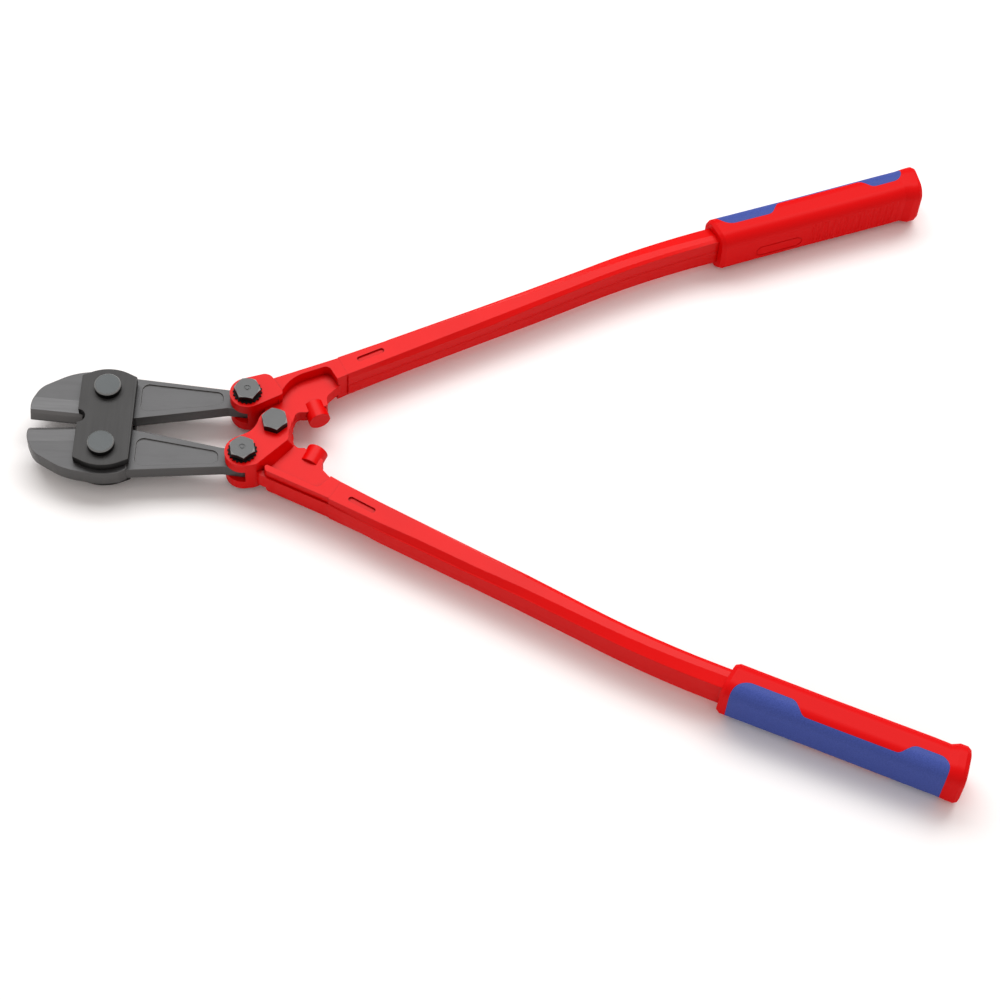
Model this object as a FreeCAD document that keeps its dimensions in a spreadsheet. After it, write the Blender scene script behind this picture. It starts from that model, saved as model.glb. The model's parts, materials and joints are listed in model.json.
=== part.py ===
import FreeCAD, Part
import math
import os

import Sketcher

# Bolt cutters lying flat. The sketches share one working frame: X runs from the jaws to the grips,
# Y to the upper handle, and the origin is the centre bolt's axis on the tool's mid-plane.
# Each body's Placement moves that frame to where the tool stands on the floor.

DIMENSIONS = {
    # place of the working frame
    "centre_bolt_x": -132.0,
    "mid_plane_z": 17.5,
    # linkage pivots, as distances from the centre bolt
    "pivot_back": 104.3,
    "pivot_side": 21.2,
    "toggle_back": 18.2,
    "toggle_side": 21.9,
    # jaws and connecting plates
    "jaw_thickness": 11.0,
    "tail_thickness": 9.0,
    "tail_recess": 1.0,
    "edge_gap": 0.15,
    "jaw_closing": 3.795,
    "plate_thickness": 5.7,
    "plate_gap": 0.3,
    "plate_notch": 4.6,
    "pivot_shank": 6.0,
    "pivot_head": 8.25,
    "pivot_head_height": 4.5,
    # hex fasteners of the levers
    "hex_shank": 5.0,
    "hex_corner": 8.4,
    "hex_height": 5.0,
    "washer_round": 9.2,
    "washer_thickness": 1.1,
    "running_fit": 0.05,
    "open_pivot_clearance": 1.0,
    # lever forgings
    "ear_span": 25.0,
    "slot_width": 10.0,
    "web_thickness": 9.0,
    "rim_height": 22.0,
    "rib_height": 10.8,
    "ear_round": 11.0,
    "centre_ear_round": 10.2,
    "ear_draft": 1.2,
    "tongue_round": 9.7,
    "slot_round": 9.2,
    "tail_round": 8.0,
    "stub_round": 6.8,
    "stub_length": 12.0,
    "spigot_length": 32.0,
    # handle tubes
    "tube_angle": 28.7,
    "grip_angle": 21.3,
    "straight_run": 172.0,
    "bend_run": 84.0,
    "run_in_grip": 120.0,
    "tube_wall": 2.2,
    "dimple_length": 18.5,
    "dimple_width": 3.6,
    "dimple_depth": 1.2,
    # grips
    "grip_length": 147.0,
    "grip_width": 24.5,
    "grip_height": 33.0,
    "grip_corner": 8.5,
    "grip_bore_gap": 0.2,
    "flare_width": 27.0,
    "flare_height": 35.0,
    "inlay_depth": 2.0,
    "finger_groove_round": 2.0,
    "finger_groove_depth": 0.5,
}

doc = FreeCAD.newDocument("BoltCutters")
sheet = doc.addObject("Spreadsheet::Sheet", "Dimensions")
for row, (alias, value) in enumerate(DIMENSIONS.items(), start=1):
    sheet.set(f"A{row}", alias)
    sheet.set(f"B{row}", str(value))
    sheet.setAlias(f"B{row}", alias)
doc.recompute()

nodes = []


def size(alias):
    """A driving dimension, read back from the sheet."""
    return float(sheet.get(alias))


def turned(point, degrees, centre=(0.0, 0.0)):
    """The point after a turn about the centre."""
    cos, sin = math.cos(math.radians(degrees)), math.sin(math.radians(degrees))
    dx, dy = point[0] - centre[0], point[1] - centre[1]
    return (centre[0] + dx * cos - dy * sin, centre[1] + dx * sin + dy * cos)


def mirrored(corners, side):
    """The outline on the upper (side 1) or the lower (side -1) half of the tool."""
    return [(corner[0], side * corner[1]) + tuple(corner[2:]) for corner in corners]


# ---------------------------------------------------------------- helpers for bodies and sketches


def new_body(label):
    """A body whose placement follows the sheet. Its label names its STEP file."""
    body = doc.addObject("PartDesign::Body", label)
    body.Label = label
    body.setExpression("Placement.Base.x", "Dimensions.centre_bolt_x")
    body.setExpression("Placement.Base.z", "Dimensions.mid_plane_z")
    nodes.append(body)
    return body


def origin_plane(body, role):
    """The body's own origin plane of that role."""
    return next(item for item in body.Origin.OriginFeatures if item.Role == role)


def new_sketch(body, name, role="XY_Plane", offset=FreeCAD.Placement()):
    """An empty sketch on one of the body's origin planes."""
    sketch = body.newObject("Sketcher::SketchObject", name)
    sketch.AttachmentSupport = [(origin_plane(body, role), "")]
    sketch.MapMode = "FlatFace"
    sketch.AttachmentOffset = offset
    return sketch


def raised(height):
    """An offset along the sketch plane's normal."""
    return FreeCAD.Placement(FreeCAD.Vector(0, 0, height), FreeCAD.Rotation())


def across(point, degrees):
    """An offset for a YZ_Plane sketch that faces the given direction at a point of the mid-plane."""
    turn = FreeCAD.Rotation(FreeCAD.Vector(0, 1, 0), degrees)
    return FreeCAD.Placement(FreeCAD.Vector(point[1], 0, point[0]), turn)


def rounded_outline(corners):
    """Lines and tangent arcs of a closed outline. A corner is (x, y) or (x, y, radius)."""
    count = len(corners)
    cuts = []
    for index, corner in enumerate(corners):
        here = FreeCAD.Vector(corner[0], corner[1], 0)
        before = FreeCAD.Vector(*corners[index - 1][:2], 0) - here
        after = FreeCAD.Vector(*corners[(index + 1) % count][:2], 0) - here
        before.normalize()
        after.normalize()
        radius = corner[2] if len(corner) > 2 else 0.0
        half = before.getAngle(after) / 2
        reach = radius / math.tan(half)
        middle = here
        if radius:
            middle = here + (before + after).normalize() * (radius / math.sin(half) - radius)
        cuts.append((here + before * reach, middle, here + after * reach, radius))
    pieces = []
    for index, (start, middle, end, radius) in enumerate(cuts):
        if radius:
            pieces.append(Part.Arc(start, middle, end))
        pieces.append(Part.LineSegment(end, cuts[(index + 1) % count][0]))
    return pieces


def outline_sketch(body, name, corners, role="XY_Plane", offset=FreeCAD.Placement()):
    """A sketch of one closed outline with rounded corners."""
    sketch = new_sketch(body, name, role, offset)
    sketch.addGeometry(rounded_outline(corners), False)
    return sketch


def circle_sketch(body, name, circles, offset=FreeCAD.Placement(), role="XY_Plane"):
    """Circles given as (centre, expression of the radius), each bound to the sheet."""
    sketch = new_sketch(body, name, role, offset)
    for index, (centre, radius) in enumerate(circles):
        middle = FreeCAD.Vector(centre[0], centre[1], 0)
        sketch.addGeometry(Part.Circle(middle, FreeCAD.Vector(0, 0, 1), 5.0), False)
        sketch.addConstraint(Sketcher.Constraint("DistanceX", -1, 1, index, 3, centre[0]))
        sketch.addConstraint(Sketcher.Constraint("DistanceY", -1, 1, index, 3, centre[1]))
        bound = sketch.addConstraint(Sketcher.Constraint("Radius", index, 5.0))
        sketch.setExpression(f"Constraints[{bound}]", radius)
    return sketch


def pad(body, sketch, length, both_ways=True, reverse=False):
    """A pad whose length is an expression of the sheet."""
    feature = body.newObject("PartDesign::Pad", sketch.Name + "_pad")
    feature.Profile = sketch
    feature.SideType = "Symmetric" if both_ways else "One side"
    feature.Reversed = reverse
    feature.setExpression("Length", length)
    sketch.Visibility = False
    doc.recompute()
    return feature


def pocket(body, sketch, length, both_ways=True, reverse=False):
    """A pocket whose length is an expression of the sheet. It must remove material."""
    before = body.Shape.Volume
    feature = body.newObject("PartDesign::Pocket", sketch.Name + "_pocket")
    feature.Profile = sketch
    feature.SideType = "Symmetric" if both_ways else "One side"
    feature.Reversed = reverse
    feature.setExpression("Length", length)
    doc.recompute()
    if body.Shape.Volume > before - 1e-3:
        raise ValueError(sketch.Name + " removed nothing")
    return feature


def turned_profile(body, name, corners, feature_type, centre=(0.0, 0.0)):
    """A revolution or groove of an (r, z) outline about the vertical axis through the centre."""
    offset = FreeCAD.Placement(FreeCAD.Vector(centre[0], 0, -centre[1]), FreeCAD.Rotation())
    sketch = outline_sketch(body, name, corners, "XZ_Plane", offset)
    feature = body.newObject(feature_type, name + "_turned")
    feature.Profile = sketch
    feature.ReferenceAxis = (sketch, ["V_Axis"])
    feature.Angle = 360.0
    doc.recompute()
    return feature


# ---------------------------------------------------------------- jaws, plates and their bolts


def pivot_point(side):
    return (-size("pivot_back"), side * size("pivot_side"))


def toggle_point(side):
    return (-size("toggle_back"), side * size("toggle_side"))


def cutting_edge(x):
    """Y of the open upper cutting edge: the closed edge turned back about the jaw's pivot."""
    slope = math.radians(size("jaw_closing"))
    from_pivot = x + size("pivot_back")
    rise = size("edge_gap") - size("pivot_side") - from_pivot * math.sin(slope)
    return size("pivot_side") + rise / math.cos(slope)


def make_jaw(label, side):
    body = new_body(label)
    tip, throat = -151.0, -121.0
    head = [
        (tip, cutting_edge(tip)),
        (throat, cutting_edge(throat)),
        (-118.0, 3.6, 1.5),
        (-90.0, 4.0),
        (-88.5, 34.2, 1.0),
        (-93.0, 37.0, 4.0),
        (-104.0, 39.4, 40.0),
        (-127.5, 35.4, 40.0),
        (-146.5, 24.2, 16.0),
        (-151.6, 13.0, 14.0),
    ]
    pad(body, outline_sketch(body, label + "_head", mirrored(head, side)), "Dimensions.jaw_thickness")
    toggle = toggle_point(1)
    reach = size("tail_round")
    tail = [
        (-96.0, 34.8),
        (-96.0, 4.0),
        (-86.0, 4.4),
        (-58.0, 9.6, 80.0),
        (-30.0, 15.0),
        (toggle[0], toggle[1] - reach),
        (toggle[0] + reach, toggle[1] - reach, reach - 0.2),
        (toggle[0] + reach, toggle[1] + reach, reach - 0.2),
        (toggle[0], toggle[1] + reach),
        (-30.0, 28.6),
    ]
    pad(body, outline_sketch(body, label + "_tail", mirrored(tail, side)), "Dimensions.tail_thickness")
    bores = [
        (pivot_point(side), "Dimensions.pivot_shank + Dimensions.running_fit"),
        (toggle_point(side), "Dimensions.hex_shank + Dimensions.running_fit"),
    ]
    pocket(body, circle_sketch(body, label + "_bores", bores), "Dimensions.jaw_thickness * 2")
    recess = [
        (-84.0, 9.4, 4.5),
        (-84.0, 30.6, 4.5),
        (-33.5, 26.4, 4.2),
        (-33.5, 17.6, 4.2),
    ]
    level = size("tail_thickness") / 2
    for face in (1, -1):
        name = f"{label}_recess_{'top' if face > 0 else 'bottom'}"
        sketch = outline_sketch(body, name, mirrored(recess, side), offset=raised(face * level))
        pocket(body, sketch, "Dimensions.tail_recess", both_ways=False, reverse=face < 0)
    land, steep, crease, flat = 0.2, (2.8, 3.4), (4.6, 4.7), (13.5, 5.5)
    front = tip - 5.0
    start = (front, side * cutting_edge(front))
    for face in (1, -1):
        bevel = [
            (-6.0, land),
            (0.0, land),
            steep,
            crease,
            flat,
            (flat[0], 8.0),
            (-6.0, 8.0),
        ]
        corners = [(side * across_y, face * up) for across_y, up in bevel]
        name = f"{label}_bevel_{'top' if face > 0 else 'bottom'}"
        offset = across(start, -side * size("jaw_closing"))
        sketch = outline_sketch(body, name, corners, "YZ_Plane", offset)
        pocket(body, sketch, "37 mm", both_ways=False, reverse=True)
    return body


def make_plate(label, face):
    """A connecting plate: round ends, straight flanks and a round notch at the jaws' throat."""
    body = new_body(label)
    front, rear, corner, crest = -121.0, -87.0, 30.5, 38.8
    outline = [
        (rear, -corner, 1.0),
        (rear, corner, 1.0),
        ((front + rear) / 2, crest, 26.0),
        (front, corner, 1.0),
        (front, -corner, 1.0),
        ((front + rear) / 2, -crest, 26.0),
    ]
    inner = size("jaw_thickness") / 2 + size("plate_gap")
    sketch = outline_sketch(body, label + "_outline", outline, offset=raised(face * inner))
    pad(body, sketch, "Dimensions.plate_thickness", both_ways=False, reverse=face < 0)
    holes = [(pivot_point(side), "Dimensions.pivot_shank") for side in (1, -1)]
    holes.append(((front, 0.0), "Dimensions.plate_notch"))
    pocket(body, circle_sketch(body, label + "_holes", holes), "60 mm")
    return body


def plate_face():
    """Height of the plates' outer faces above the mid-plane."""
    return size("jaw_thickness") / 2 + size("plate_gap") + size("plate_thickness")


def make_pivot_bolt(label, side):
    body = new_body(label)
    shank, head, top = size("pivot_shank"), size("pivot_head"), plate_face()
    crown = top + size("pivot_head_height")
    profile = [
        (0.0, -crown),
        (shank - 0.8, -crown),
        (shank, -crown + 0.8),
        (shank, top),
        (head, top),
        (head, crown - 0.8),
        (head - 0.8, crown),
        (0.0, crown),
    ]
    turned_profile(body, label + "_profile", profile, "PartDesign::Revolution", pivot_point(side))
    return body


def hexagon(centre, reach, first_angle):
    """Corners of a hexagon whose first corner lies at that angle."""
    turns = [math.radians(first_angle + 60 * step) for step in range(6)]
    return [(centre[0] + reach * math.cos(turn), centre[1] + reach * math.sin(turn)) for turn in turns]


def chamfer_hexagon(body, name, centre, reach, height, face):
    """Turns off the hexagon's corners at its outer face."""
    flat = reach * math.cos(math.radians(30)) - 0.3
    corners = [
        (flat, face * (height + 0.2)),
        (reach + 1.0, face * (height + 0.2)),
        (reach + 1.0, face * (height - 1.4)),
    ]
    turned_profile(body, name, corners, "PartDesign::Groove", centre)


def make_hex_bolt(label, centre, angle, on_washer):
    """A hex bolt. One that sits on a lock washer has a plain ring stamped into its head."""
    body = new_body(label)
    top = size("ear_span") / 2
    reach, height = size("hex_corner"), size("hex_height")
    seat = size("washer_thickness") if on_washer else 0.0
    head = outline_sketch(body, label + "_head", hexagon(centre, reach, angle), offset=raised(top + seat))
    pad(body, head, f"Dimensions.hex_height - {seat}", both_ways=False)
    chamfer_hexagon(body, label + "_chamfer", centre, reach, top + height, 1)
    if on_washer:
        ring = [(1.1, top + height + 0.2), (1.9, top + height + 0.2), (1.9, top + height - 0.3)]
        ring.append((1.1, top + height - 0.3))
        turned_profile(body, label + "_stamp", ring, "PartDesign::Groove", centre)
    shank = circle_sketch(body, label + "_shank", [(centre, "Dimensions.hex_shank")], raised(top + seat))
    below = f"Dimensions.ear_span + Dimensions.hex_height + {seat - 0.4}"
    pad(body, shank, below, both_ways=False, reverse=True)
    return body


def make_washer(label, centre):
    """A toothed lock washer between a lever's ear and the bolt head."""
    body = new_body(label)
    tip, root, teeth = size("washer_round"), size("washer_round") - 1.1, 20
    corners = []
    for step in range(2 * teeth):
        turn, reach = math.pi * step / teeth, root if step % 2 else tip
        corners.append((centre[0] + reach * math.cos(turn), centre[1] + reach * math.sin(turn)))
    outline = outline_sketch(body, label + "_teeth", corners, offset=raised(size("ear_span") / 2))
    pad(body, outline, "Dimensions.washer_thickness", both_ways=False)
    bore = circle_sketch(body, label + "_bore", [(centre, "Dimensions.hex_shank + Dimensions.running_fit")])
    pocket(body, bore, "Dimensions.ear_span * 2")
    return body


def make_nut(label, centre, reach, bore, top, height, angle):
    """A hex nut under the tool, with the bolt's thread as a plain bore."""
    body = new_body(label)
    sketch = outline_sketch(body, label + "_hexagon", hexagon(centre, reach, angle), offset=raised(-top))
    pad(body, sketch, height, both_ways=False, reverse=True)
    chamfer_hexagon(body, label + "_chamfer", centre, reach, top + body.Shape.BoundBox.ZLength, -1)
    pocket(body, circle_sketch(body, label + "_bore", [(centre, bore)]), "80 mm")
    return body


# ---------------------------------------------------------------- lever forgings


def seam_point(across_u=0.0, back=0.0):
    """Point of the seam between forging and tube, on the upper half.

    It lies across_u outwards from the seam's inner top corner and back behind the seam.
    """
    angle = math.radians(size("tube_angle"))
    x = 42.9 - across_u * math.sin(angle) - back * math.cos(angle)
    y = 40.2 + across_u * math.cos(angle) - back * math.sin(angle)
    return (x, y)


def add_stub(body, label, side):
    """The round stop that meets the other lever's stop when the tool is shut."""
    face, closing = (27.0, side * 11.4), -67.0
    offset = across(face, side * closing)
    sketch = circle_sketch(body, label + "_stub", [((0.0, 0.0), "Dimensions.stub_round")], offset, "YZ_Plane")
    pad(body, sketch, "Dimensions.stub_length", both_ways=False, reverse=True)


def add_spigot(body, label, side):
    """The tang that the handle tube is pressed over."""
    angle, root = size("tube_angle"), 4.0
    start = (seam_point(0.0, root)[0], side * seam_point(0.0, root)[1])
    tang = [(2.9, 8.3), (2.9, -8.3), (11.6, -8.3), (11.6, 8.3)]
    corners = [(side * along, up, 1.0) for along, up in tang]
    sketch = outline_sketch(body, label + "_spigot", corners, "YZ_Plane", across(start, side * angle))
    pad(body, sketch, "Dimensions.spigot_length", both_ways=False)


def tapered_pad(body, label, side, crest, base, height, base_height):
    """A forging's raised part: straight walls near the mid-plane and drafted walls above and below.

    The crest and base outlines have the same number of corners.
    """
    levels = [(-height, crest), (-base_height, base), (base_height, base), (height, crest)]
    sketches = []
    for index, (level, corners) in enumerate(levels):
        name = f"{label}_{index}"
        sketches.append(outline_sketch(body, name, mirrored(corners, side), offset=raised(level)))
    feature = body.newObject("PartDesign::AdditiveLoft", label)
    feature.Profile = sketches[0]
    feature.Sections = sketches[1:]
    feature.Ruled = True
    doc.recompute()
    return feature


def add_rim(body, label, side, crest_edge, base_edge):
    """Full-height rim from the ear to the seam, and the lower rib along its outer flank."""
    crest = [seam_point(), seam_point(13.9), (-3.4, 34.4, 2.4)] + crest_edge + [(36.6, 36.4)]
    base = [seam_point(), seam_point(14.0), (-3.8, 34.5, 2.4)] + base_edge + [(37.4, 35.6)]
    height = size("rim_height") / 2
    tapered_pad(body, label + "_rim", side, crest, base, height, size("web_thickness") / 2 - 0.6)
    rib = [seam_point(11.0), seam_point(15.1), (-7.4, 34.2, 3.5), (-10.2, 30.0), (0.0, 31.0)]
    pad(body, outline_sketch(body, label + "_rib", mirrored(rib, side)), "Dimensions.rib_height")


def make_upper_lever():
    label = "upper_lever"
    body = new_body(label)
    toggle = toggle_point(1)
    ear = [
        (-23.0, 20.0),
        (-12.8, 12.3),
        (4.4, 22.6, 2.5),
        (-5.8, 37.8, 6.0),
        (-22.0, 32.2),
    ]
    pad(body, circle_sketch(body, "upper_ear_eye", [(toggle, "Dimensions.ear_round")]), "Dimensions.ear_span")
    pad(body, outline_sketch(body, "upper_ear", ear), "Dimensions.ear_span")
    crest_edge = [(-6.0, 29.0), (0.5, 20.5), (1.9, 24.2), (8.5, 36.5, 24.0), (30.6, 46.4, 4.0)]
    base_edge = [(-6.0, 29.0), (1.6, 20.0), (3.1, 23.8), (9.6, 35.4, 24.0), (31.0, 45.2, 4.0)]
    add_rim(body, label, 1, crest_edge, base_edge)
    slot = [
        (-36.0, 36.0),
        (-36.0, 8.0),
        (-18.0, 8.0),
        (-17.2, 15.0),
        (-12.5, 31.2),
        (-13.0, 38.5),
    ]
    eye = circle_sketch(body, "upper_slot_eye", [(toggle, "Dimensions.slot_round")])
    pocket(body, eye, "Dimensions.slot_width")
    pocket(body, outline_sketch(body, "upper_slot", slot), "Dimensions.slot_width")
    tongue = circle_sketch(body, "upper_tongue", [((0.0, 0.0), "Dimensions.tongue_round")])
    pad(body, tongue, "Dimensions.web_thickness")
    web = [
        (-9.0, 3.4),
        (9.3, 3.0),
        (10.6, 7.0, 8.0),
        (12.4, 14.2, 4.0),
        (18.6, 14.4),
        (31.6, 20.6, 1.5),
        (30.2, 27.0, 6.0),
        (38.4, 36.3),
        (35.0, 46.0),
        (-2.0, 34.0),
        (-7.4, 24.0),
        (-7.0, 15.6),
    ]
    pad(body, outline_sketch(body, "upper_web", web), "Dimensions.web_thickness")
    add_stub(body, label, 1)
    add_spigot(body, label, 1)
    bores = [
        (toggle, "Dimensions.hex_shank"),
        ((0.0, 0.0), "Dimensions.hex_shank + Dimensions.open_pivot_clearance"),
    ]
    pocket(body, circle_sketch(body, "upper_lever_bores", bores), "Dimensions.ear_span * 2")
    return body


def make_lower_lever():
    label = "lower_lever"
    body = new_body(label)
    toggle = toggle_point(-1)
    eyes = circle_sketch(body, "lower_toggle_eye", [(toggle, "Dimensions.ear_round")])
    pad(body, eyes, "Dimensions.ear_span")
    span, draft, eye = size("ear_span") / 2, size("ear_draft"), size("centre_ear_round")
    slot_face = size("slot_width") / 2
    centre_eye = [
        (0.0, -span),
        (eye, -span),
        (eye + draft, -slot_face),
        (eye + draft, slot_face),
        (eye, span),
        (0.0, span),
    ]
    turned_profile(body, "lower_centre_eye", centre_eye, "PartDesign::Revolution")
    ear_head = [(9.4, 1.0), (-8.6, 5.6), (-12.5, -6.0, 14.0), (-25.0, -13.0), (-22.0, -31.0), (-17.2, -32.8)]
    ear_crest = ear_head + [(-12.0, -32.0), (-9.0, -30.9, 1.6), (8.9, -11.9, 2.0)]
    ear_base = ear_head + [(-9.0, -31.7), (-0.9, -28.2, 1.6), (12.8, -11.2, 2.0)]
    tapered_pad(body, "lower_ear", 1, ear_crest, ear_base, span, slot_face - 1.0)
    crest_edge = [(-4.7, 29.1, 1.4), (29.3, 45.2, 4.0)]
    base_edge = [(-5.6, 27.4, 1.4), (29.8, 43.9, 4.0)]
    add_rim(body, label, -1, crest_edge, base_edge)
    web = [
        (10.2, -7.6),
        (14.8, -12.6, 3.5),
        (19.0, -12.2),
        (31.2, -20.6, 1.5),
        (29.8, -26.4, 6.0),
        (38.4, -36.0),
        (35.0, -46.0),
        (-2.0, -34.0),
        (-9.0, -30.5),
    ]
    pad(body, outline_sketch(body, "lower_web", web), "Dimensions.web_thickness")
    back_wall = [(15.0, -0.8), (-20.5, -37.2), (-44.0, -30.0), (-30.0, 20.0), (15.0, 20.0)]
    pocket(body, outline_sketch(body, "lower_slot", back_wall), "Dimensions.slot_width")
    add_stub(body, label, -1)
    add_spigot(body, label, -1)
    bores = [(toggle, "Dimensions.hex_shank"), ((0.0, 0.0), "Dimensions.hex_shank")]
    pocket(body, circle_sketch(body, "lower_lever_bores", bores), "Dimensions.ear_span * 2")
    return body


# ---------------------------------------------------------------- handle tubes and grips


def tube_station(along):
    """Point and direction of the tube's inner top edge, that far from the seam, on the upper half."""
    angle, end_angle = size("tube_angle"), size("grip_angle")
    x, y = seam_point()
    step = 1.0
    travelled = 0.0
    heading = angle
    while travelled < along - 1e-9:
        stride = min(step, along - travelled)
        bent = min(max((travelled + stride / 2 - size("straight_run")) / size("bend_run"), 0.0), 1.0)
        heading = angle + bent * (end_angle - angle)
        x += stride * math.cos(math.radians(heading))
        y += stride * math.sin(math.radians(heading))
        travelled += stride
    return (x, y), heading


def blend(along, values):
    """Value at that distance, from the distances and values of a few measured stations."""
    stations = list(values)
    for start, end in zip(stations, stations[1:]):
        if along <= end:
            share = (along - start) / (end - start)
            return values[start] + share * (values[end] - values[start])
    return values[stations[-1]]


def tube_shape(along):
    """The section's half height, its three widths and the heights where its two flanks start.

    Widths are measured outwards from the inner top edge: to the outer top edge, to the outer
    flank and, inwards, to the inner flank.
    """
    half = size("rim_height") / 2
    top = blend(along, {0: 14.4, 36: 12.8, 60: 11.1, 100: 9.5, 130: 7.4, 165: 6.0, 256: 4.0})
    outside = blend(along, {0: 15.4, 36: 15.9, 60: 15.0, 100: 13.5, 130: 12.2, 165: 11.3})
    inside = blend(along, {0: 1.0, 36: 2.0, 100: 3.0, 165: 2.6, 256: 2.2})
    ledge = blend(along, {0: 6.0, 36: 6.8, 100: 7.2, 130: 8.0, 165: 8.3, 256: 9.4})
    shoulder = blend(along, {0: 7.6, 100: 7.8, 130: 9.2, 165: 9.6, 256: 10.4})
    return half, top, outside, inside, ledge, shoulder


def both_halves(upper):
    """A list of upper corners followed by the same corners below the mid-plane, in reverse."""
    return upper + [(across_u, -up) for across_u, up in reversed(upper)]


def tube_section(along):
    """Outline across the tube: chamfered edges, an outer rib and a shallow groove inside."""
    half, top, outside, inside, ledge, shoulder = tube_shape(along)
    outer = [(top, half), (outside - 0.7, ledge), (outside, ledge - 0.2), (outside + 0.4, 2.2)]
    inner = [(0.0, -half), (-inside, -shoulder), (-inside, -1.4)]
    groove_floor = (0.6 - inside, 0.0)
    inner_above = [(across_u, -up) for across_u, up in reversed(inner)]
    return both_halves(outer) + inner + [groove_floor] + inner_above


def hollow_section(along):
    """Outline of the tube's bore, one wall inside the outer outline."""
    wall = size("tube_wall")
    half, top, outside, inside, ledge, shoulder = tube_shape(along)
    outer = [(top - 0.9, half - wall), (outside - wall, ledge - 0.9)]
    inner = [(0.9, wall - half), (wall - inside, -min(shoulder - 0.9, half - wall - 0.8))]
    return both_halves(outer) + inner + [(across_u, -up) for across_u, up in reversed(inner)]


def loft_along(body, label, side, stations, section, feature_type):
    """A ruled loft through the sections at those distances along the tube."""
    sketches = []
    for index, along in enumerate(stations):
        point, heading = tube_station(along)
        corners = [(side * across_u, up) for across_u, up in section(along)]
        offset = across((point[0], side * point[1]), side * heading)
        sketches.append(outline_sketch(body, f"{label}_{index}", corners, "YZ_Plane", offset))
    feature = body.newObject(feature_type, label)
    feature.Profile = sketches[0]
    feature.Sections = sketches[1:]
    feature.Ruled = True
    doc.recompute()
    return feature


def make_tube(label, side):
    body = new_body(label)
    straight, bent = size("straight_run"), size("bend_run")
    bend = [straight + bent * step / 6 for step in range(7)]
    stations = [0.0, 36.0, 60.0, 100.0, 130.0] + bend + [straight + bent + size("run_in_grip")]
    loft_along(body, label + "_skin", side, stations, tube_section, "PartDesign::AdditiveLoft")
    loft_along(body, label + "_bore", side, stations, hollow_section, "PartDesign::SubtractiveLoft")
    angle = size("tube_angle")
    half_length, half_width = size("dimple_length") / 2, size("dimple_width") / 2
    middle = (56.4, 56.1)
    slot = [
        (middle[0] + sign_x * half_length, middle[1] + sign_y * half_width)
        for sign_x, sign_y in ((-1, -1), (1, -1), (1, 1), (-1, 1))
    ]
    corners = [turned(corner, angle, middle) + (half_width - 0.1,) for corner in slot]
    for face in (1, -1):
        offset = raised(face * size("rim_height") / 2)
        name = f"{label}_dimple_{'top' if face > 0 else 'bottom'}"
        sketch = outline_sketch(body, name, mirrored(corners, side), offset=offset)
        pocket(body, sketch, "Dimensions.dimple_depth", both_ways=False, reverse=face < 0)
    return body


def grip_frame():
    """Middle of the grip's front end and its direction, on the upper half."""
    return (275.8, 165.3), size("grip_angle")


def grip_point(along, across_u, side):
    """Point that far along the grip and outwards from its middle line."""
    (x, y), heading = grip_frame()
    cos, sin = math.cos(math.radians(heading)), math.sin(math.radians(heading))
    return (x + along * cos - across_u * sin, side * (y + along * sin + across_u * cos))


def grip_sections(inset):
    """Stations along the grip as (distance, turn, width, height, corner radius, outward shift)."""
    width, height = size("grip_width") - 2 * inset, size("grip_height") - 2 * inset
    flare_w, flare_h = size("flare_width") - 2 * inset, size("flare_height") - 2 * inset
    length = size("grip_length")
    corner = size("grip_corner") - inset
    return [
        (0.0, 7.0, width - 2.3, height - 2.5, corner - 1.0, 0.0),
        (2.5, 7.0, width + 0.4, height, corner, 0.0),
        (16.0, 3.0, width, height, corner, 0.0),
        (60.0, 0.0, width, height - 0.6, corner, 0.0),
        (length - 24.0, 0.0, width + 0.4, height - 0.2, corner, 0.0),
        (length - 13.0, -4.0, width, height, corner, 0.1),
        (length - 7.5, -7.0, flare_w, flare_h, corner + 0.6, -0.9),
        (length - 3.0, -7.0, flare_w, flare_h, corner + 0.6, -0.9),
        (length - 0.8, -7.0, flare_w - 2.6, flare_h - 2.6, corner - 0.4, -0.8),
        (length, -7.0, flare_w - 7.0, flare_h - 7.0, corner - 2.2, -0.6),
    ]


def make_grip_skin(label, side, inset):
    """Loft of the grip's outer shape, or of the core that lies that far inside it."""
    body = doc.addObject("PartDesign::Body", label)
    heading = size("grip_angle")
    sketches = []
    for index, (along, turn, width, height, corner, shift) in enumerate(grip_sections(inset)):
        point = grip_point(along, shift, side)
        corners = [
            (sign_x * width / 2, sign_y * height / 2, corner)
            for sign_x, sign_y in ((-1, -1), (1, -1), (1, 1), (-1, 1))
        ]
        offset = across(point, side * (heading + turn))
        sketches.append(outline_sketch(body, f"{label}_{index}", corners, "YZ_Plane", offset))
    loft = body.newObject("PartDesign::AdditiveLoft", label + "_loft")
    loft.Profile = sketches[0]
    loft.Sections = sketches[1:]
    loft.Ruled = True
    doc.recompute()
    return body


def make_inlay_field(label, side):
    """Prism over the plan outline of the soft inlay: wide at both ends and narrow between."""
    body = doc.addObject("PartDesign::Body", label)
    start, heading = grip_frame()
    wide, narrow, outside = 0.9, 8.6, 22.0
    plan = [
        (4.5, outside),
        (4.5, wide, 11.0),
        (41.0, wide, 6.0),
        (48.0, narrow, 5.0),
        (107.0, narrow, 5.0),
        (114.0, wide, 6.0),
        (137.0, wide, 8.0),
        (137.0, outside),
    ]
    corners = []
    for corner in plan:
        point = turned(corner[:2], heading)
        corners.append((start[0] + point[0], start[1] + point[1]) + tuple(corner[2:]))
    sketch = outline_sketch(body, label + "_plan", mirrored(corners, side))
    pad(body, sketch, "Dimensions.flare_height * 2")
    return body


def place_in_working_frame(feature):
    """Moves a boolean of unplaced bodies to where the tool stands."""
    feature.setExpression("Placement.Base.x", "Dimensions.centre_bolt_x")
    feature.setExpression("Placement.Base.z", "Dimensions.mid_plane_z")
    nodes.append(feature)


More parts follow.
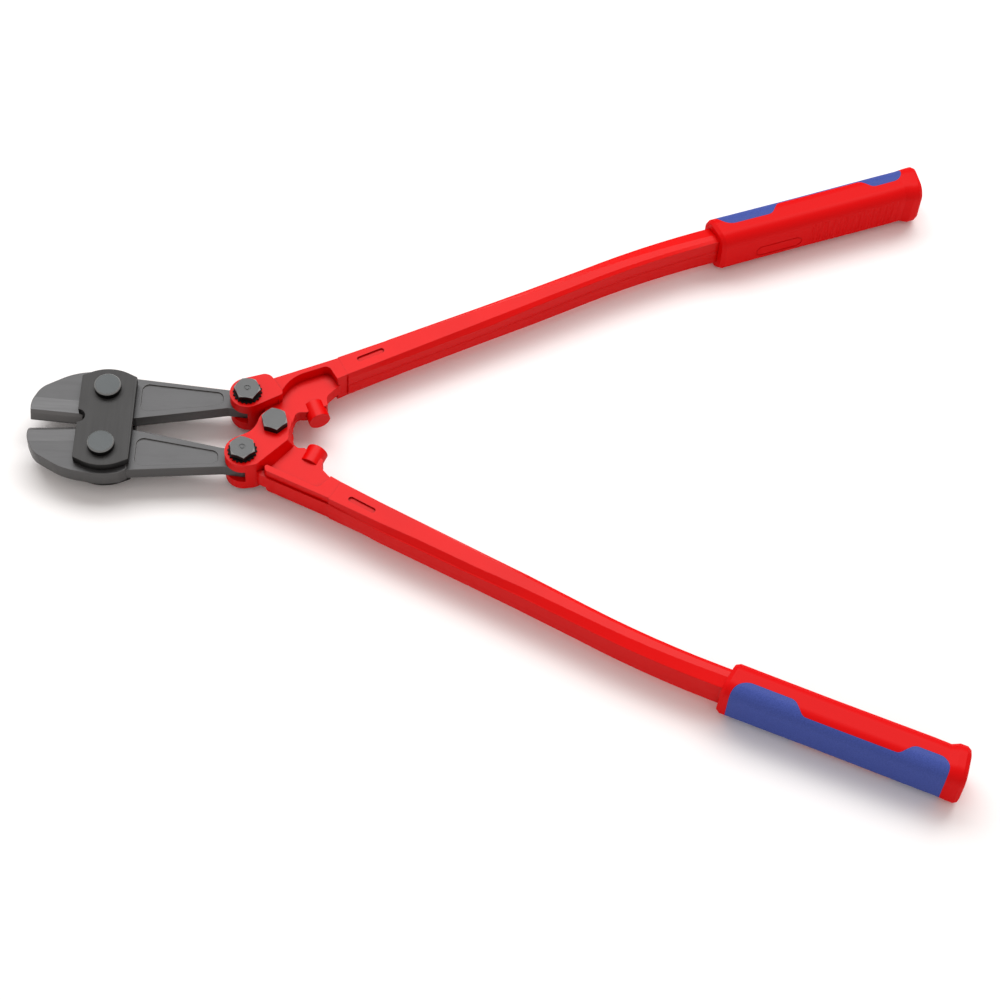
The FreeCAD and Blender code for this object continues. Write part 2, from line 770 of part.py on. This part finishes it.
def boolean(kind, label, base, tool):
    feature = doc.addObject(kind, label)
    feature.Label = label
    feature.Base = base
    feature.Tool = tool
    doc.recompute()
    return feature


def make_tube_room(label, side):
    """A straight prism, slightly larger than the tube's section in the grip."""
    body = doc.addObject("PartDesign::Body", label)
    gap, lead, beyond = size("grip_bore_gap"), 6.0, 1.0
    start = size("straight_run") + size("bend_run")
    (x, y), heading = tube_station(start)
    point = (x - lead * math.cos(math.radians(heading)), y - lead * math.sin(math.radians(heading)))
    half, top, outside, inside, ledge, shoulder = tube_shape(start)
    hull = [(top + gap, half + gap), (outside + 0.4 + gap, ledge), (outside + 0.4 + gap, -ledge)]
    hull += [(top + gap, -half - gap), (-gap, -half - gap), (-inside - gap, -shoulder)]
    hull += [(-inside - gap, shoulder), (-gap, half + gap)]
    corners = [(side * across_u, up) for across_u, up in hull]
    offset = across((point[0], side * point[1]), side * heading)
    sketch = outline_sketch(body, label + "_outline", corners, "YZ_Plane", offset)
    pad(body, sketch, f"Dimensions.run_in_grip + {lead + beyond}", both_ways=False)
    return body


def make_finger_grooves(label, side):
    """Upright round cutters along the rear half of the grip's inner flank."""
    body = doc.addObject("PartDesign::Body", label)
    first, pitch, count, run = 67.0, 4.7, 14, 24.0
    flank = size("grip_width") / 2 + size("finger_groove_round") - size("finger_groove_depth")
    radius = "Dimensions.finger_groove_round"
    places = [(grip_point(first + pitch * step, -flank, side), radius) for step in range(count)]
    pad(body, circle_sketch(body, label + "_rows", places), f"{run} mm")
    return body


def make_panel_outline(label, side):
    """Cutter for a shallow plain oval line on the front half of the inner flank."""
    body = doc.addObject("PartDesign::Body", label)
    middle, drop, half_length, half_height, line, depth = 43.0, -3.4, 16.5, 4.6, 0.8, 0.35
    place = grip_point(middle, depth - size("grip_width") / 2, side)
    facing = side * (size("grip_angle") - 90.0)
    sketch = new_sketch(body, label + "_ring", "YZ_Plane", across(place, facing))
    for inset in (0.0, line):
        reach, rise = half_length - inset, half_height - inset
        oval = [
            (sign_x * reach, drop + sign_y * rise, rise - 0.1)
            for sign_x, sign_y in ((-1, -1), (1, -1), (1, 1), (-1, 1))
        ]
        sketch.addGeometry(rounded_outline(oval), False)
    pad(body, sketch, "3 mm", both_ways=False)
    return body


def make_grip(prefix, side):
    """The hard grip with the tube's bore, and the soft inlay let into its outer flank."""
    skin = make_grip_skin(prefix + "_grip_skin", side, 0.0)
    core = make_grip_skin(prefix + "_grip_core", side, size("inlay_depth"))
    field = make_inlay_field(prefix + "_inlay_field", side)
    shell = boolean("Part::Cut", prefix + "_grip_shell", skin, core)
    inlay = boolean("Part::Common", prefix + "_grip_inlay", shell, field)
    place_in_working_frame(inlay)
    room = make_tube_room(prefix + "_tube_room", side)
    bored = boolean("Part::Cut", prefix + "_grip_bored", skin, room)
    grooves = make_finger_grooves(prefix + "_finger_grooves", side)
    grooved = boolean("Part::Cut", prefix + "_grip_grooved", bored, grooves)
    panel = make_panel_outline(prefix + "_grip_panel", side)
    grip = doc.addObject("Part::Cut", prefix + "_grip")
    grip.Label = prefix + "_grip"
    grip.Base = boolean("Part::Cut", prefix + "_grip_lined", grooved, panel)
    grip.Tool = boolean("Part::Common", prefix + "_inlay_bed", shell, field)
    doc.recompute()
    place_in_working_frame(grip)


# ---------------------------------------------------------------- assembly

for half, side in (("upper", 1), ("lower", -1)):
    make_jaw(half + "_jaw", side)
    make_pivot_bolt(half + "_pivot_bolt", side)
    make_nut(
        half + "_pivot_nut",
        pivot_point(side),
        size("pivot_head") + 0.6,
        "Dimensions.pivot_shank",
        plate_face(),
        "Dimensions.pivot_head_height - 0.4",
        20.0 * side,
    )
    make_tube(half + "_tube", side)
    make_grip(half, side)

make_plate("top_plate", 1)
make_plate("bottom_plate", -1)
make_upper_lever()
make_lower_lever()

HEX_TURNS = {"upper_toggle": 176.0, "lower_toggle": 161.0, "centre": 164.0}
HEX_PLACES = {"upper_toggle": toggle_point(1), "lower_toggle": toggle_point(-1), "centre": (0.0, 0.0)}
for place, centre in HEX_PLACES.items():
    on_washer = place != "centre"
    make_hex_bolt(place + "_bolt", centre, HEX_TURNS[place], on_washer)
    if on_washer:
        make_washer(place + "_washer", centre)
    make_nut(
        place + "_nut",
        centre,
        size("hex_corner"),
        "Dimensions.hex_shank",
        size("ear_span") / 2,
        "Dimensions.hex_height",
        HEX_TURNS[place] + 17.0,
    )

doc.recompute()

for item in doc.Objects:
    if "Invalid" in item.State or "Error" in item.State:
        raise ValueError(f"{item.Label} failed: {item.State}")

os.makedirs("parts", exist_ok=True)
for node in nodes:
    shape = node.Shape
    if shape.isNull() or not shape.isValid():
        raise ValueError(node.Label + " has no valid shape")
    shape.exportStep(f"parts/{node.Label}.step")
    box = shape.BoundBox
    print(
        f"{node.Label}: {len(shape.Solids)} solid, {shape.Volume / 1000:.2f} cm3,"
        f" x {box.XMin:.1f}..{box.XMax:.1f} y {box.YMin:.1f}..{box.YMax:.1f} z {box.ZMin:.1f}..{box.ZMax:.1f}"
    )
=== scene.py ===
import json
import math

import bpy
from mathutils import Matrix, Vector


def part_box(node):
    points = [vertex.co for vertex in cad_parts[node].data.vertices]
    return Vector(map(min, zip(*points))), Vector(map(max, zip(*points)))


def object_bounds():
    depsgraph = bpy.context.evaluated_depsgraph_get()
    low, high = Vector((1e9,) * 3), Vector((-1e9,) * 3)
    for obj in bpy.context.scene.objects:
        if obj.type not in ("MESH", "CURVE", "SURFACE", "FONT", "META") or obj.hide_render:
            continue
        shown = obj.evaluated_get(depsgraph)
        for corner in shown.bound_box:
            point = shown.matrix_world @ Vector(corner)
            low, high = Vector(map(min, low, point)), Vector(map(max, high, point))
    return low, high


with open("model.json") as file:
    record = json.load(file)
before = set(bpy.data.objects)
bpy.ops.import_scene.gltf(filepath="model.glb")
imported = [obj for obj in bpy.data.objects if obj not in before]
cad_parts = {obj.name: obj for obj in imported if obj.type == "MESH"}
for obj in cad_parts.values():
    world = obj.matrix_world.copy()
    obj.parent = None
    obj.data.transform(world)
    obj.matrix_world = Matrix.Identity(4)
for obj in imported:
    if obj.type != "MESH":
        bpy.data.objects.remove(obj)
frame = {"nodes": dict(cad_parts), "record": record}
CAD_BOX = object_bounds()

MM = 0.001
MICRON = 0.000001

# ---------------------------------------------------------------- camera and light

# The aim point is measured from the centre bolt. Angles are in degrees, lengths in millimetres.
CAMERA_AZIMUTH = -3.15
CAMERA_ELEVATION = 57.0
CAMERA_ROLL = 5.116
CAMERA_DISTANCE = 1591.6
CAMERA_AIM = (140.2, -41.29, -0.2)
CAMERA_NEAR = 50.0
LENS = 93.65
SENSOR = 36.0


def centre_bolt():
    """The centre bolt's axis at mid-height."""
    low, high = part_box("centre_bolt")
    return (low + high) / 2


def add_camera():
    """A camera that orbits its aim point, rolled about its own view direction."""
    azimuth, elevation = math.radians(CAMERA_AZIMUTH), math.radians(CAMERA_ELEVATION)
    back = Vector(
        (
            math.sin(azimuth) * math.cos(elevation),
            -math.cos(azimuth) * math.cos(elevation),
            math.sin(elevation),
        )
    )
    right = Vector((math.cos(azimuth), math.sin(azimuth), 0.0))
    up = back.cross(right)
    roll = Matrix.Rotation(math.radians(CAMERA_ROLL), 3, back)
    axes = Matrix((roll @ right, roll @ up, back)).transposed().to_4x4()
    aim = centre_bolt() + Vector(CAMERA_AIM) * MM
    data = bpy.data.cameras.new("camera")
    data.lens = LENS
    data.sensor_width = SENSOR
    data.clip_start = CAMERA_NEAR * MM
    camera = bpy.data.objects.new("camera", data)
    camera.matrix_world = Matrix.Translation(aim + back * CAMERA_DISTANCE * MM) @ axes
    bpy.context.scene.collection.objects.link(camera)
    bpy.context.scene.camera = camera


def add_softbox(name, place, aim, width, depth, power):
    """A white rectangular area light that points from its place to its aim. Lengths are in metres."""
    data = bpy.data.lights.new(name, "AREA")
    data.shape = "RECTANGLE"
    data.size = width
    data.size_y = depth
    data.energy = power
    light = bpy.data.objects.new(name, data)
    direction = Vector(aim) - Vector(place)
    light.location = place
    light.rotation_euler = direction.to_track_quat("-Z", "Y").to_euler()
    bpy.context.scene.collection.objects.link(light)


# ---------------------------------------------------------------- shader helpers

# Bounds for how far a face points up or down, from 0 on a wall to 1 on a level face.
STEEL_WALL = (0.2, 0.55)
ENAMEL_WALL = (0.3, 0.8)
CHAMFER = (0.93, 0.985)
SLIGHT_SLOPE = (0.9965, 0.9985)

# Sockets of a colour mix node, which has one set of sockets for each data type.
FIRST_COLOUR, SECOND_COLOUR, MIXED_COLOUR = 6, 7, 2


class Shader:
    """A material whose nodes are added in reading order."""

    def __init__(self, name, roughness, metallic=0.0, **sockets):
        self.material = bpy.data.materials.new(name)
        self.material.use_nodes = True
        self.tree = self.material.node_tree
        self.surface = self.tree.nodes["Principled BSDF"]
        self.surface.inputs["Roughness"].default_value = roughness
        self.surface.inputs["Metallic"].default_value = metallic
        for socket, value in sockets.items():
            self.surface.inputs[socket.replace("_", " ")].default_value = value
        self.place = self.node("ShaderNodeTexCoord").outputs["Object"]

    def node(self, kind, **settings):
        node = self.tree.nodes.new(kind)
        for name, value in settings.items():
            setattr(node, name, value)
        return node

    def link(self, source, target):
        self.tree.links.new(source, target)

    def stretched(self, scale, turn=0.0):
        """Object coordinates, turned about Z by some degrees and then scaled."""
        mapping = self.node("ShaderNodeMapping")
        mapping.inputs["Scale"].default_value = scale
        turning = self.node("ShaderNodeVectorRotate", rotation_type="Z_AXIS")
        turning.inputs["Angle"].default_value = math.radians(turn)
        self.link(self.place, turning.inputs["Vector"])
        self.link(turning.outputs["Vector"], mapping.inputs["Vector"])
        return mapping.outputs["Vector"]

    def noise(self, vector, scale, detail=3.0, roughness=0.5):
        noise = self.node("ShaderNodeTexNoise")
        noise.inputs["Scale"].default_value = scale
        noise.inputs["Detail"].default_value = detail
        noise.inputs["Roughness"].default_value = roughness
        self.link(vector, noise.inputs["Vector"])
        return noise.outputs["Fac"]

    def ranged(self, source, low, high, start=0.3, end=0.7):
        """The source between start and end, mapped to low and high."""
        ranged = self.node("ShaderNodeMapRange")
        ranged.inputs["From Min"].default_value = start
        ranged.inputs["From Max"].default_value = end
        ranged.inputs["To Min"].default_value = low
        ranged.inputs["To Max"].default_value = high
        self.link(source, ranged.inputs["Value"])
        return ranged.outputs["Result"]

    def mixed(self, share, first, second):
        """Two colours, or colour outputs, mixed by the share."""
        mix = self.node("ShaderNodeMix", data_type="RGBA")
        self.link(share, mix.inputs["Factor"])
        for socket, colour in ((mix.inputs[FIRST_COLOUR], first), (mix.inputs[SECOND_COLOUR], second)):
            if isinstance(colour, bpy.types.NodeSocket):
                self.link(colour, socket)
            else:
                socket.default_value = (*colour, 1.0)
        return mix.outputs[MIXED_COLOUR]

    def bump(self, height, depth, strength, normal):
        """The normals with relief of some depth, in metres, laid over them."""
        bump = self.node("ShaderNodeBump")
        bump.inputs["Distance"].default_value = depth
        bump.inputs["Strength"].default_value = strength
        self.link(height, bump.inputs["Height"])
        self.link(normal, bump.inputs["Normal"])
        return bump.outputs["Normal"]

    def rounded(self, radius):
        """Normals that roll over the sharp edges."""
        bevel = self.node("ShaderNodeBevel", samples=6)
        bevel.inputs["Radius"].default_value = radius
        return bevel.outputs["Normal"]

    def facing_up(self, low, high):
        """0 on faces steeper than low and 1 on faces more level than high."""
        geometry = self.node("ShaderNodeNewGeometry")
        parts = self.node("ShaderNodeSeparateXYZ")
        self.link(geometry.outputs["True Normal"], parts.inputs["Vector"])
        upright = self.node("ShaderNodeMath", operation="ABSOLUTE")
        self.link(parts.outputs["Z"], upright.inputs[0])
        return self.ranged(upright.outputs["Value"], 0.0, 1.0, low, high)

    def sheltered(self, reach):
        """1 in the open and less in corners and recesses of the piece itself."""
        shelter = self.node("ShaderNodeAmbientOcclusion", samples=6, only_local=True)
        shelter.inputs["Distance"].default_value = reach
        return shelter.outputs["AO"]

    def finish(self, colour, roughness=None, normal=None):
        """The material, with these outputs on its surface."""
        for socket, source in (("Base Color", colour), ("Roughness", roughness), ("Normal", normal)):
            if source is not None:
                self.link(source, self.surface.inputs[socket])
        return self.material


# ---------------------------------------------------------------- materials


def shade(colour, factor):
    """The colour, lighter or darker by the factor."""
    return tuple(factor * channel for channel in colour)


def enamel(name, colour, deep, roughness=0.34):
    """Red powder paint with slight orange peel and random tone, plus painted shade: a little deeper on
    walls and deeper still in the piece's own corners and recesses.
    """
    shader = Shader(name, roughness, Specular_IOR_Level=0.0, Coat_Weight=0.28, Coat_Roughness=0.3)
    broad = shader.noise(shader.place, scale=28.0, detail=2.0)
    peel = shader.noise(shader.place, scale=700.0, detail=2.0)
    tint = shader.mixed(shader.ranged(broad, 0.0, 1.0), colour, deep)
    # Painted shade: faces steeper than level take a darker red, as if less light falls on them.
    painted_wall_shade = shader.mixed(shader.facing_up(*ENAMEL_WALL), shade(deep, 0.95), tint)
    # Painted shade: the piece's own corners and recesses darken towards half the deep red.
    openness = shader.ranged(shader.sheltered(7.0 * MM), 0.0, 1.0, start=0.35, end=0.85)
    painted_recess_shade = shader.mixed(openness, shade(deep, 0.5), painted_wall_shade)
    dust = shader.noise(shader.place, scale=160.0, detail=4.0)
    gloss = shader.ranged(dust, roughness - 0.05, roughness + 0.08)
    return shader.finish(painted_recess_shade, gloss, shader.bump(peel, 20 * MICRON, 0.5, shader.rounded(0.7 * MM)))


def ground_steel(name, face, edge, wall, roughness, turn, facet=1.0, grain=1400.0):
    """Steel with fine grinding lines on its faces, a painted highlight on its chamfers and another tone
    on its walls.

    The wall tone is painted shade on the bolt heads' sides and the darker forged skin on the jaws.
    The lines run along X, turned about Z by the given degrees. Faces that slope slightly take the
    face colour times facet, painted light that sets the ground facets of the jaws apart.
    """
    shader = Shader(name, roughness, metallic=0.7, Specular_IOR_Level=0.3)
    along_grain = shader.stretched((grain * 0.02, grain, grain), turn)
    lines = shader.noise(along_grain, scale=1.0, detail=4.0, roughness=0.7)
    broad = shader.noise(shader.place, scale=60.0)
    deep = shade(face, 0.72)
    ground = shader.mixed(shader.ranged(lines, 0.0, 1.0), deep, face)
    cloud = shader.mixed(shader.ranged(broad, 0.0, 0.4), ground, deep)
    # Painted light: slightly sloped faces take a lighter face colour, so the ground facets stand apart.
    if facet != 1.0:
        cloud = shader.mixed(shader.facing_up(*SLIGHT_SLOPE), shade(face, facet), cloud)
    # Painted highlight: chamfers take the lighter edge colour, as if they catch the light.
    chamfer_highlight = shader.mixed(shader.facing_up(*CHAMFER), edge, cloud)
    # Walls take the wall colour: painted shade on the bolt heads' sides, the darker forged skin on the
    # jaws.
    skin_and_wall_shade = shader.mixed(shader.facing_up(*STEEL_WALL), wall, chamfer_highlight)
    gloss = shader.ranged(lines, roughness - 0.06, roughness + 0.1)
    return shader.finish(skin_and_wall_shade, gloss, shader.bump(lines, 20 * MICRON, 0.5, shader.rounded(0.3 * MM)))


def soft_grip(name, colour, deep, roughness, grain, relief):
    """Soft moulded plastic with a fine spark-eroded grain. Relief is the grain's depth in metres."""
    shader = Shader(name, roughness, Specular_IOR_Level=0.0, Coat_Weight=0.18, Coat_Roughness=0.4)
    fine = shader.noise(shader.place, scale=grain, roughness=0.6)
    tint = shader.mixed(shader.ranged(fine, 0.0, 1.0, start=0.35, end=0.65), colour, deep)
    gloss = shader.ranged(fine, roughness - 0.05, roughness + 0.1)
    return shader.finish(tint, gloss, shader.bump(fine, relief, 0.7, shader.rounded(0.9 * MM)))


def grey(value):
    return (value, value, value)


MATERIALS = {
    "jaw_steel": ground_steel(
        "jaw_steel",
        face=(0.094, 0.095, 0.097),
        edge=grey(0.14),
        wall=grey(0.085),
        roughness=0.42,
        turn=0.0,
        # Painted light on the slightly sloped ground facets.
        facet=1.12,
    ),
    "plate_steel": ground_steel(
        "plate_steel", face=grey(0.056), edge=grey(0.085), wall=grey(0.014), roughness=0.5, turn=90.0
    ),
    # The bolts' near-black walls are painted shade, and their lighter chamfer colour is a painted
    # highlight.
    "bolt_steel": ground_steel(
        "bolt_steel",
        face=(0.077, 0.084, 0.086),
        edge=(0.21, 0.22, 0.22),
        wall=grey(0.008),
        roughness=0.4,
        turn=30.0,
    ),
    "hex_steel": ground_steel(
        "hex_steel",
        face=(0.1, 0.103, 0.104),
        edge=grey(0.3),
        wall=grey(0.01),
        roughness=0.42,
        turn=30.0,
        grain=2200.0,
    ),
    "washer_steel": ground_steel(
        "washer_steel", face=grey(0.012), edge=grey(0.02), wall=grey(0.008), roughness=0.5, turn=0.0
    ),
    "lever_red": enamel("lever_red", colour=(0.74, 0.002, 0.002), deep=(0.68, 0.0015, 0.0015)),
    "tube_red": enamel("tube_red", colour=(0.74, 0.002, 0.002), deep=(0.68, 0.0015, 0.0015)),
    "grip_red": soft_grip(
        "grip_red",
        colour=(0.70, 0.002, 0.003),
        deep=(0.64, 0.0015, 0.002),
        roughness=0.42,
        grain=2600.0,
        relief=40 * MICRON,
    ),
    "inlay_blue": soft_grip(
        "inlay_blue",
        colour=(0.06, 0.092, 0.36),
        deep=(0.044, 0.07, 0.28),
        roughness=0.55,
        grain=1500.0,
        relief=80 * MICRON,
    ),
}

# ---------------------------------------------------------------- the CAD nodes

# Widths in millimetres, by material slot, of the edges that a bevel breaks. The materials of all the
# pieces round their edges as well.
EDGE_ROUNDING = {
    "jaw_steel": 0.35,
    "plate_steel": 0.45,
}
WELD_GAP = 0.01
# In degrees. Seams flatter than the first are cleared, and edges sharper than the second are bevelled.
FLAT_SEAM_ANGLE = 0.1
SHARP_EDGE_ANGLE = 32.0
BEVEL_SEGMENTS = 3


def round_edges(node, width):
    """Modifiers that join the imported faces, clear flat seams and round the sharp edges."""
    weld = node.modifiers.new("weld", "WELD")
    weld.merge_threshold = WELD_GAP * MM
    clean = node.modifiers.new("clean", "DECIMATE")
    clean.decimate_type = "DISSOLVE"
    clean.angle_limit = math.radians(FLAT_SEAM_ANGLE)
    bevel = node.modifiers.new("round", "BEVEL")
    bevel.width = width * MM
    bevel.segments = BEVEL_SEGMENTS
    bevel.limit_method = "ANGLE"
    bevel.angle_limit = math.radians(SHARP_EDGE_ANGLE)
    bevel.use_clamp_overlap = False
    bevel.harden_normals = True
    bevel.miter_outer = "MITER_ARC"


# The hex bolts are plated lighter than the pivot bolts.
HEX_BOLTS = ("centre_bolt", "upper_toggle_bolt", "lower_toggle_bolt")

for part in frame["record"]["subparts"]:
    node, slot = frame["nodes"][part["node"]], part["material_slot"]
    look = MATERIALS["hex_steel" if part["node"] in HEX_BOLTS else slot]
    for material_slot in node.material_slots:
        material_slot.material = look
    if slot in EDGE_ROUNDING:
        round_edges(node, EDGE_ROUNDING[slot])

# ---------------------------------------------------------------- stage

# The floor's width, and the gap between it and the lowest face, in metres.
FLOOR_SIZE = 6.0
FLOOR_GAP = 0.0002


def add_floor():
    """A pale floor just under the lowest face."""
    half = FLOOR_SIZE / 2
    mesh = bpy.data.meshes.new("floor")
    corners = [(-half, -half, 0), (half, -half, 0), (half, half, 0), (-half, half, 0)]
    mesh.from_pydata(corners, [], [(0, 1, 2, 3)])
    floor = bpy.data.objects.new("floor", mesh)
    floor.location = (0.0, 0.0, CAD_BOX[0][2] - FLOOR_GAP)
    bpy.context.scene.collection.objects.link(floor)
    shader = Shader("floor_white", 0.6)
    tone = shader.noise(shader.place, scale=3.0, detail=2.0)
    mesh.materials.append(shader.finish(shader.mixed(tone, grey(0.93), grey(0.95))))


def add_world(colour, strength):
    """Even light from all around."""
    world = bpy.data.worlds.new("studio")
    world.use_nodes = True
    background = world.node_tree.nodes["Background"]
    background.inputs["Color"].default_value = (*colour, 1.0)
    background.inputs["Strength"].default_value = strength
    bpy.context.scene.world = world


add_floor()
add_camera()
add_world((1.0, 0.93, 0.9), 0.67)
add_softbox("back_softbox", place=(0.0, 1.5, 2.6), aim=(0.0, 0.0, 0.0), width=4.0, depth=1.6, power=80.0)
bpy.context.scene.view_settings.view_transform = "Standard"
